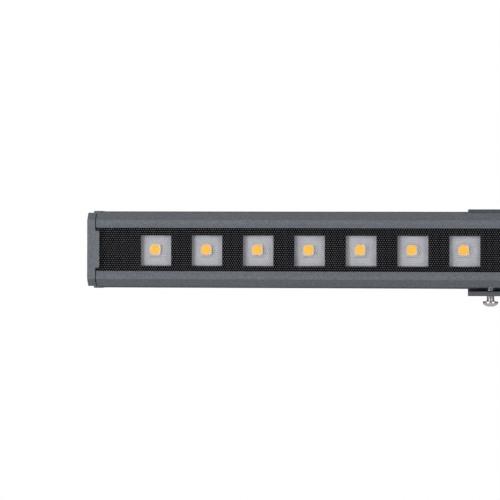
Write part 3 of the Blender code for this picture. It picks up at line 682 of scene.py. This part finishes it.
def recess_bar(stretch):
    """One tapered bar of the cross recess."""
    bm = bmesh.new()
    bmesh.ops.create_cone(bm, cap_ends=True, segments=4,
                          radius1=2.95 * MM, radius2=1.6 * MM, depth=2.4 * MM)
    quarter = Matrix.Rotation(math.radians(45), 3, "Z")
    bmesh.ops.rotate(bm, cent=(0, 0, 0), matrix=quarter, verts=bm.verts)
    bmesh.ops.scale(bm, vec=stretch, verts=bm.verts)
    bmesh.ops.translate(bm, vec=(0, 0, (head_low + 0.75) * MM), verts=bm.verts)
    return write_mesh(bm, bpy.data.meshes.new("slot"))


apply_booleans(screw, [recess_bar((1.25, 0.27, 1.0)), recess_bar((0.27, 1.25, 1.0))], [stub])
screw.data.transform(Matrix.Translation((screw_x, screw_y, 0)))
mount(screw, "clamp_screw", "clamp_screw", angle=38, weighted=False)

tip_low, tip_top = (corner.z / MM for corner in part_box("clamp_tip"))
tip_profile = [(0, tip_top), (3.2, tip_top)] + arc(3.55, tip_top - 0.45, 0.45, 80, 0, 4) + [
    (4.0, tip_low + 0.3), (3.8, tip_low), (1.5, tip_low), (1.5, tip_top - 0.4),
    (0, tip_top - 0.4)]
tip_mesh = lathe(tip_profile, 40, place=(screw_x, screw_y, 0))
tip = add_object("clamp_swivel_tip", tip_mesh, NYLON)
mount(tip, "clamp_tip", "clamp_tip", angle=40)

# ---- Cover: clear slab whose front carries a triangular lattice of shallow domes ----
LENS_PITCH, LENS_ROW = 1.443, 1.29  # wanted spacing along X, spacing of rows along Z
LENS_R, SPHERE_R = 0.80, 4.0
LENS_RISE = SPHERE_R - math.sqrt(SPHERE_R**2 - LENS_R**2)
LENS_STEPS = 3  # grid steps from lens to lens
FIELD_HALF_Z = 14.2
CREST = 0.75  # how far the first ring of points is drawn in to the lens's centre


def lens_grid():
    """Front grid: x, z, rise above the valleys, distance and offsets from lens centres."""
    x0, x1 = COVER_LO.x / MM, COVER_HI.x / MM
    step_z = LENS_ROW / LENS_STEPS
    rows = int(math.ceil(2 * FIELD_HALF_Z / step_z))
    rows += rows % 2
    cols = int(round((x1 - x0) / (LENS_PITCH / LENS_STEPS)))
    step_x = (x1 - x0) / cols
    pitch = step_x * LENS_STEPS
    top = rows * step_z / 2
    j, i = np.mgrid[0 : rows + 1, 0 : cols + 1]
    x = x0 + (i + 0.5 * (j % 2)) * step_x
    z = -top + j * step_z

    # nearest lens centre, looked for in the lens rows and columns round each point
    away, off_x, off_z = np.full(x.shape, 1e9), np.zeros(x.shape), np.zeros(x.shape)
    for row_shift in (-1, 0, 1):
        row = np.round(j / LENS_STEPS) + row_shift
        shift = 0.5 * (row % 2) * pitch
        col = np.round((x - x0 - shift) / pitch)
        for col_shift in (-1, 0, 1):
            centre_x = x0 + shift + (col + col_shift) * pitch
            centre_z = -top + row * LENS_STEPS * step_z
            distance = np.hypot(x - centre_x, z - centre_z)
            nearer = distance < away
            away = np.where(nearer, distance, away)
            off_x = np.where(nearer, x - centre_x, off_x)
            off_z = np.where(nearer, z - centre_z, off_z)

    # the ring of points round each centre draws in, so the crest is a small hexagon
    ring = (away > 1e-4) & (away < 0.6)
    off_x, off_z = np.where(ring, off_x * CREST, off_x), np.where(ring, off_z * CREST, off_z)
    x = np.where(ring & (i > 0) & (i < cols), x + off_x * (1 - 1 / CREST), x)
    z = np.where(ring & (j > 0) & (j < rows), z + off_z * (1 - 1 / CREST), z)
    away = np.where(ring, away * CREST, away)
    sphere = np.sqrt(np.maximum(SPHERE_R**2 - away**2, 0)) - (SPHERE_R - LENS_RISE)
    border = (j == 0) | (j == rows) | (i == 0) | (i == cols)
    rise = np.where(border, 0.0, np.where(away < LENS_R, sphere, 0.0))
    x = np.where(i == 0, x0, np.where(i == cols, x1, x))
    return x, z, rise, away, off_x, off_z


def grid_triangles(rows, cols):
    """Triangles of the grid, whose odd rows are shifted half a step."""
    parts = []
    low_left = np.arange(cols)
    for row in range(rows):
        low = row * (cols + 1) + low_left
        high = low + cols + 1
        if row % 2 == 0:
            parts.append(np.stack([low, low + 1, high], -1))
            parts.append(np.stack([high, low + 1, high + 1], -1))
        else:
            parts.append(np.stack([low, high + 1, high], -1))
            parts.append(np.stack([low, low + 1, high + 1], -1))
    return np.concatenate(parts)


def set_lens_normals(mesh, on_lens, off_x, off_z):
    """Give each corner on a lens the true slope of its sphere."""
    normals = np.zeros(len(mesh.loops) * 3)
    mesh.corner_normals.foreach_get("vector", normals)
    normals = normals.reshape(-1, 3)
    index = np.zeros(len(mesh.loops), dtype=int)
    mesh.loops.foreach_get("vertex_index", index)
    slope_x, slope_z = off_x.reshape(-1) / SPHERE_R, off_z.reshape(-1) / SPHERE_R
    slope_y = -np.sqrt(np.maximum(1 - slope_x**2 - slope_z**2, 0.05))
    slopes = np.stack([slope_x, slope_y, slope_z], -1)
    chosen = index < len(slopes)
    chosen[chosen] = on_lens[index[chosen]]
    normals[chosen] = slopes[index[chosen]]
    mesh.normals_split_custom_set([tuple(normal) for normal in normals])


def lens_cover():
    x, z, rise, away, off_x, off_z = lens_grid()
    rows, cols = x.shape[0] - 1, x.shape[1] - 1
    x0, x1 = COVER_LO.x / MM, COVER_HI.x / MM
    z0, z1 = COVER_LO.z / MM, COVER_HI.z / MM
    # crests lie near the cover's front plane and the valleys behind it
    valley = (COVER_LO.y - FRONT) / MM + LENS_RISE
    back_depth = (COVER_HI.y - FRONT) / MM
    points = np.stack([x * MM, FRONT + (valley - rise) * MM, z * MM], -1).reshape(-1, 3)
    slab = np.array([
        (a * MM, FRONT + depth * MM, c * MM)
        for depth in (valley, back_depth)
        for a, c in ((x0, z0), (x1, z0), (x1, z1), (x0, z1))
    ])
    count, width = len(points), cols + 1
    front, back = range(count, count + 4), range(count + 4, count + 8)
    low = list(range(width))
    high = list(range(rows * width, (rows + 1) * width))
    left = [row * width for row in range(rows + 1)]
    right = [row * width + cols for row in range(rows + 1)]
    triangles = grid_triangles(rows, cols)
    # lenses, plain margins below and above them, then the sides and back
    polys = triangles.tolist() + [
        (front[0], front[1], *low[::-1]),
        (front[2], front[3], *high),
        (front[1], front[0], back[0], back[1]),
        (front[3], front[2], back[2], back[3]),
        (front[0], *left, front[3], back[3], back[0]),
        (front[2], *right[::-1], front[1], back[1], back[2]),
        (back[0], back[3], back[2], back[1]),
    ]
    mesh = bpy.data.meshes.new("lens_cover")
    mesh.from_pydata(np.concatenate([points, slab]).tolist(), [], polys)
    mesh.update()
    bm = bmesh.new()
    bm.from_mesh(mesh)
    bmesh.ops.recalc_face_normals(bm, faces=bm.faces)
    write_mesh(bm, mesh)
    mesh.shade_smooth()
    mesh.set_sharp_from_angle(angle=math.radians(50))
    on_lens = rise.reshape(-1) > 0.001
    set_lens_normals(mesh, on_lens, off_x, off_z)

    # the six triangles round each lens's centre take the second material, a grey half-clear crest
    # that is a painted glint, standing in for the small highlight each lens shows
    centres = np.nonzero((away.reshape(-1) < 1e-4) & on_lens)[0]
    material_index = np.zeros(len(mesh.polygons), dtype=np.int32)
    material_index[: len(triangles)] = np.isin(triangles, centres).any(axis=1)
    mesh.polygons.foreach_set("material_index", material_index)
    return mesh


cover = add_object("lens_cover", lens_cover(), COVER, CREST_GLINT)
mount(cover, "batten", "front_cover")

# ---- LEDs: package with a round cup, and the phosphor that fills it ----
LED_COUNT = 48  # points round
LED_HALF, LED_CORNER, LED_CHAMFER = 3.5, 1.1, 1.9
LED_THICK = 1.15


def led_outline(half):
    """Square loop with small cut corners, the one at -X +Z cut deeper."""
    loop = []
    for x, z in circle(0, 0, 1.0, LED_COUNT):
        radius = half / max(abs(x), abs(z))
        x, z = radius * x, radius * z
        cuts = [LED_CORNER, LED_CHAMFER] if x < 0 and z > 0 else [LED_CORNER]
        for cut in cuts:
            over = abs(x) + abs(z) - (2 * half - cut)
            if over > 0:
                x -= math.copysign(over / 2, x)
                z -= math.copysign(over / 2, z)
        loop.append((x, z))
    return loop


def led_mesh():
    """Package from its back edge over the front land into the cup; local y runs back."""
    rings = [(led_outline(LED_HALF), LED_THICK), (led_outline(LED_HALF), 0.12),
             (led_outline(LED_HALF - 0.12), 0.0)]
    for radius, y in ((3.08, 0.0), (3.04, 0.05), (2.9, 0.4)):
        rings.append((circle(0, 0, radius, LED_COUNT), y))
    bm = bmesh.new()
    loops = [[bm.verts.new((x * MM, y * MM, z * MM)) for x, z in ring] for ring, y in rings]
    for outer, inner in zip(loops, loops[1:]):
        for k in range(LED_COUNT):
            after = (k + 1) % LED_COUNT
            bm.faces.new((outer[k], outer[after], inner[after], inner[k]))
    bm.faces.new(loops[0])
    bm.faces.new(loops[-1])
    bmesh.ops.recalc_face_normals(bm, faces=bm.faces)
    return write_mesh(bm, bpy.data.meshes.new("led_package"))


PHOSPHOR_DOME = [
    (0, 0.1), (1.0, 0.095), (2.0, 0.065), (2.55, 0.01),
    (2.84, -0.1), (2.92, -0.16), (2.88, -0.36), (0, -0.36),
]
package_mesh, dome_mesh = led_mesh(), lathe(PHOSPHOR_DOME, 48, "-Y")


def add_copy(name, mesh, place, mat):
    mesh = mesh.copy()
    mesh.transform(Matrix.Translation(place))
    return add_object(name, mesh, mat)


led_centres = []
for name in sorted(n for n in nodes if n.startswith("led_") and n[4:].isdigit()):
    lo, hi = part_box(name)
    x, z = (lo.x + hi.x) / 2, (lo.z + hi.z) / 2
    led_centres.append((x, z))
    front = hi.y - LED_THICK * MM
    package = add_copy(f"package_{name[4:]}", package_mesh, (x, front, z), LED_WHITE)
    mount(package, "batten", name, angle=30)
    place = (x, front + 0.05 * MM, z)
    dome = add_copy(f"phosphor_{name[4:]}", dome_mesh, place, PHOSPHOR)
    mount(dome, "batten", angle=40, weighted=False)

# ---- Pads, print marks and a painted shadow line round each package, one mesh of each for each board ----
# offsets x, z from the LED's centre, width, height, turn in degrees
PAD_SPOTS = [(0.0, 3.8, 5.6, 0.5, 0), (0.0, -3.8, 5.6, 0.5, 0)]
# an arc of three print dashes on the right, and one dark rule below that is a painted shadow line
# under the package
MARK_SPOTS = [
    (5.4 * math.cos(math.radians(a)), 5.4 * math.sin(math.radians(a)), 0.3, 1.3, a)
    for a in (-20, 0, 20)
] + [(0.0, -4.6, 7.4, 0.24, 0)]


def board_details(name, spots, sign):
    """Thin plates at the spots of every LED on one side of the middle."""
    bm = bmesh.new()
    for x, z in led_centres:
        if x * sign < -1 * MM:
            continue
        for off_x, off_z, wide, high, turn in spots:
            verts = bmesh.ops.create_cube(bm, size=1.0)["verts"]
            bmesh.ops.scale(bm, vec=(wide * MM, 0.05 * MM, high * MM), verts=verts)
            rotation = Matrix.Rotation(math.radians(-turn), 3, "Y")
            bmesh.ops.rotate(bm, cent=(0, 0, 0), matrix=rotation, verts=verts)
            place = (x + off_x * MM, BOARD_FRONT - 0.026 * MM, z + off_z * MM)
            bmesh.ops.translate(bm, vec=place, verts=verts)
    return write_mesh(bm, bpy.data.meshes.new(name))


for side, sign in (("left", -1), ("right", 1)):
    for kind, spots, mat, slot in (("pads", PAD_SPOTS, TIN, "stainless"),
                                   ("marks", MARK_SPOTS, PRINT_AND_SHADE_LINE, "board_white")):
        name = f"board_{kind}_{side}"
        mount(add_object(name, board_details(name, spots, sign), mat), "batten")

# ---- Connector on the right cap: heights run out along +X from the cap's face ----
conn_seat = at(CAP_RIGHT_X, CONN_DEPTH, 0)
conn_place = Matrix.Translation(conn_seat) @ TURNS["X"]
conn_tip = CONN_HI.x / MM - CAP_RIGHT_X
BORE_R = 5.2
flange = [(5.6, 3.1), (5.6, 2.9), (9.3, 2.9)] + arc(9.6, 2.5, 0.4, 90, 0, 3) + [
    (10.0, 1.1), (9.8, 0.9), (7.0, 0.9), (7.0, -9.0), (BORE_R, -9.0)]
shell_mesh = threaded(
    major=6.0, pitch=1.0, bottom=3.3, top=conn_tip, head=flange,
    bore=[(5.45, conn_tip), (BORE_R, conn_tip - 0.3)])
shell_mesh.transform(conn_place)
shell = add_object("connector_shell", shell_mesh, NICKEL)
flats = []  # blocks that cut the flange to a hexagon
for k in range(6):
    block = box_mesh(Vector((9.0, -12, -1)) * MM, Vector((16, 12, 2.8)) * MM)
    block.transform(Matrix.Rotation(math.radians(60 * k + 30), 4, "Z"))
    block.transform(conn_place)
    flats.append(block)
apply_booleans(shell, flats)
mount(shell, "batten", "connector_body", angle=38, weighted=False)

core_profile = [(0, 8.3), (3.6, 8.3), (3.6, 8.5), (4.6, 8.5)]
core_profile += arc(4.6, 8.2, 0.3, 90, 0, 3)[1:] + [(4.9, -6.5), (0, -6.5)]
core = add_object("connector_core", lathe(core_profile, 40, "X", conn_seat), NYLON)
key = box_mesh(at(CAP_RIGHT_X + 5, CONN_DEPTH - 5.1, -0.6),
               at(CAP_RIGHT_X + 8.5, CONN_DEPTH - 3.9, 0.6))
apply_booleans(core, joins=[key])
mount(core, "batten", "connector_insert", angle=38)

PIN = [(0, 11.6), (0.2, 11.55), (0.42, 11.3), (0.5, 10.9), (0.5, 7.9), (0, 7.9)]
PIN_CIRCLE_R = 2.4
for k in range(4):
    t = math.radians(45 + 90 * k)
    place = at(CAP_RIGHT_X, CONN_DEPTH + PIN_CIRCLE_R * math.cos(t), PIN_CIRCLE_R * math.sin(t))
    pin = add_object(f"connector_pin_{k + 1}", lathe(PIN, 20, "X", place), GOLD)
    mount(pin, "batten", angle=40, weighted=False)

# ---- Finishes of the CAD pieces that keep their shape ----
FINISH = {
    "mask_plate": MASK, "cover_gasket": RUBBER, "end_gasket_left": RUBBER,
    "end_gasket_right": RUBBER, "connector_oring": RUBBER, "connector_nut": NICKEL,
    "board_link": NYLON, "led_board_left": BOARD, "led_board_right": BOARD,
    "thermal_pad_left": PAD_GREY, "thermal_pad_right": PAD_GREY, "driver_board": GREEN,
    "driver_insulator": SHEET, "driver_inductor": FERRITE, "driver_capacitor_1": SLEEVE,
    "driver_capacitor_2": SLEEVE, "driver_chip": CHIP, "driver_terminal": TERMINAL,
    "led_lead_red": LEAD_RED, "input_lead_red": LEAD_RED,
    "led_lead_black": LEAD_BLACK, "input_lead_black": LEAD_BLACK,
    **{f"led_board_screw_{k}": STEEL for k in range(1, 5)},
}
for name, mat in FINISH.items():
    obj = nodes[name]
    if not obj.material_slots:
        obj.data.materials.append(mat)
    for material_slot in obj.material_slots:
        material_slot.material = mat

# ---- Stage: pale floor, white world, soft light, camera (metres) ----
scene.view_settings.view_transform = "Standard"
scene.view_settings.look = "None"


def floor_material():
    """Grey to the light, pale to the camera, half pale in reflections, clear from below."""
    mat, tree, bsdf = new_material("floor")
    grain = noise(tree, object_coords(tree), scale=60.0)
    feed_all(tree, bsdf, {
        "Base Color": blend_colour(tree, grain, (0.2, 0.2, 0.2), (0.22, 0.22, 0.22)),
        "Roughness": 0.85,
    })
    pale = blend_colour(tree, grain, (0.8, 0.805, 0.81), (0.84, 0.845, 0.85))
    glow = add_node(tree, "Emission", {"Color": pale})
    clear = add_node(tree, "BsdfTransparent")
    ray = add_node(tree, "LightPath").outputs
    half_gloss = maths(tree, "MULTIPLY", ray["Is Glossy Ray"], 0.5)
    glow_share = maths(tree, "ADD", ray["Is Camera Ray"], half_gloss)
    above = mix_shader(tree, glow_share, bsdf.outputs[0], glow.outputs[0])
    below = add_node(tree, "NewGeometry").outputs["Backfacing"]
    surface = mix_shader(tree, below, above, clear.outputs[0])
    feed(tree, tree.nodes["Material Output"].inputs["Surface"], surface)
    return mat


bm = bmesh.new()
bmesh.ops.create_circle(bm, cap_ends=True, segments=96, radius=1.15)
floor = add_object("floor", write_mesh(bm, bpy.data.meshes.new("floor")))
floor.location = (0, 0, -0.3)
floor.data.materials.append(floor_material())


def studio_world():
    """White to the camera, a faint fill for everything else."""
    world = bpy.data.worlds.new("studio")
    scene.world = world
    world.use_nodes = True
    tree = world.node_tree
    tree.nodes.clear()

    def background(colour, strength):
        inputs = {"Color": colour, "Strength": strength}
        return add_node(tree, "Background", inputs).outputs[0]

    output = add_node(tree, "OutputWorld")
    ray = add_node(tree, "LightPath").outputs
    seen = background((1, 1, 1), strength=1.0)
    fill = background((0.97, 0.98, 1.0), strength=0.06)
    gloss = background((0.97, 0.98, 1.0), strength=0.03)
    unseen = mix_shader(tree, ray["Is Glossy Ray"], fill, gloss)
    feed(tree, output.inputs[0], mix_shader(tree, ray["Is Camera Ray"], unseen, seen))


studio_world()


def softbox(name, place, target, size, watts, colour=(1, 1, 1)):
    light = bpy.data.lights.new(name, "AREA")
    light.shape = "RECTANGLE"
    light.size, light.size_y = size
    light.energy = watts
    light.color = colour
    obj = add_object(name, light)
    obj.location = place
    obj.rotation_euler = (Vector(target) - Vector(place)).to_track_quat("-Z", "Y").to_euler()


AIM = (-0.1488, -0.05, 0)  # point on the batten that the front lights face


def from_aim(azimuth, elevation, reach):
    """Point at a bearing from AIM in degrees; azimuth 0 is in front, positive to +X."""
    a, e = math.radians(azimuth), math.radians(elevation)
    return (AIM[0] + reach * math.sin(a) * math.cos(e),
            AIM[1] - reach * math.cos(a) * math.cos(e), reach * math.sin(e))


ORIGIN = (0, 0, 0)
softbox("key_left", from_aim(azimuth=-38, elevation=6, reach=2.8), AIM,
        size=(1.5, 1.9), watts=41.0, colour=(1.0, 0.995, 0.985))
softbox("fill_right", from_aim(azimuth=44, elevation=4, reach=2.8), AIM,
        size=(1.3, 1.9), watts=21.0)
softbox("back", (0.5, 2.5, 0.8), ORIGIN, size=(1.6, 1.0), watts=34.0)
softbox("top", (-0.3, 1.1, 1.6), ORIGIN, size=(1.2, 0.8), watts=5.0)
softbox("side_left", (-2.2, 0.9, 0.6), ORIGIN, size=(0.9, 0.9), watts=14.0)
softbox("side_right", (2.2, 0.9, 0.6), ORIGIN, size=(0.9, 0.9), watts=14.0)

CAMERA_YAW_SLOPE = 0.08876  # sideways run to the left for each unit ahead
CAMERA_ROLL = 0.16  # degrees
cam_data = bpy.data.cameras.new("camera")
cam_data.sensor_width = 36.0
cam_data.lens = 175.4
cam_data.clip_start, cam_data.clip_end = 0.05, 60.0
cam = add_object("camera", cam_data)
cam.location = (-0.0151, FRONT - 1.5, -0.00015)
yaw = Matrix.Rotation(math.atan(CAMERA_YAW_SLOPE), 4, "Z")
level = Matrix.Rotation(math.radians(90), 4, "X")
roll = Matrix.Rotation(math.radians(CAMERA_ROLL), 4, "Z")
cam.rotation_mode = "QUATERNION"
cam.rotation_quaternion = (yaw @ level @ roll).to_quaternion()
scene.camera = cam
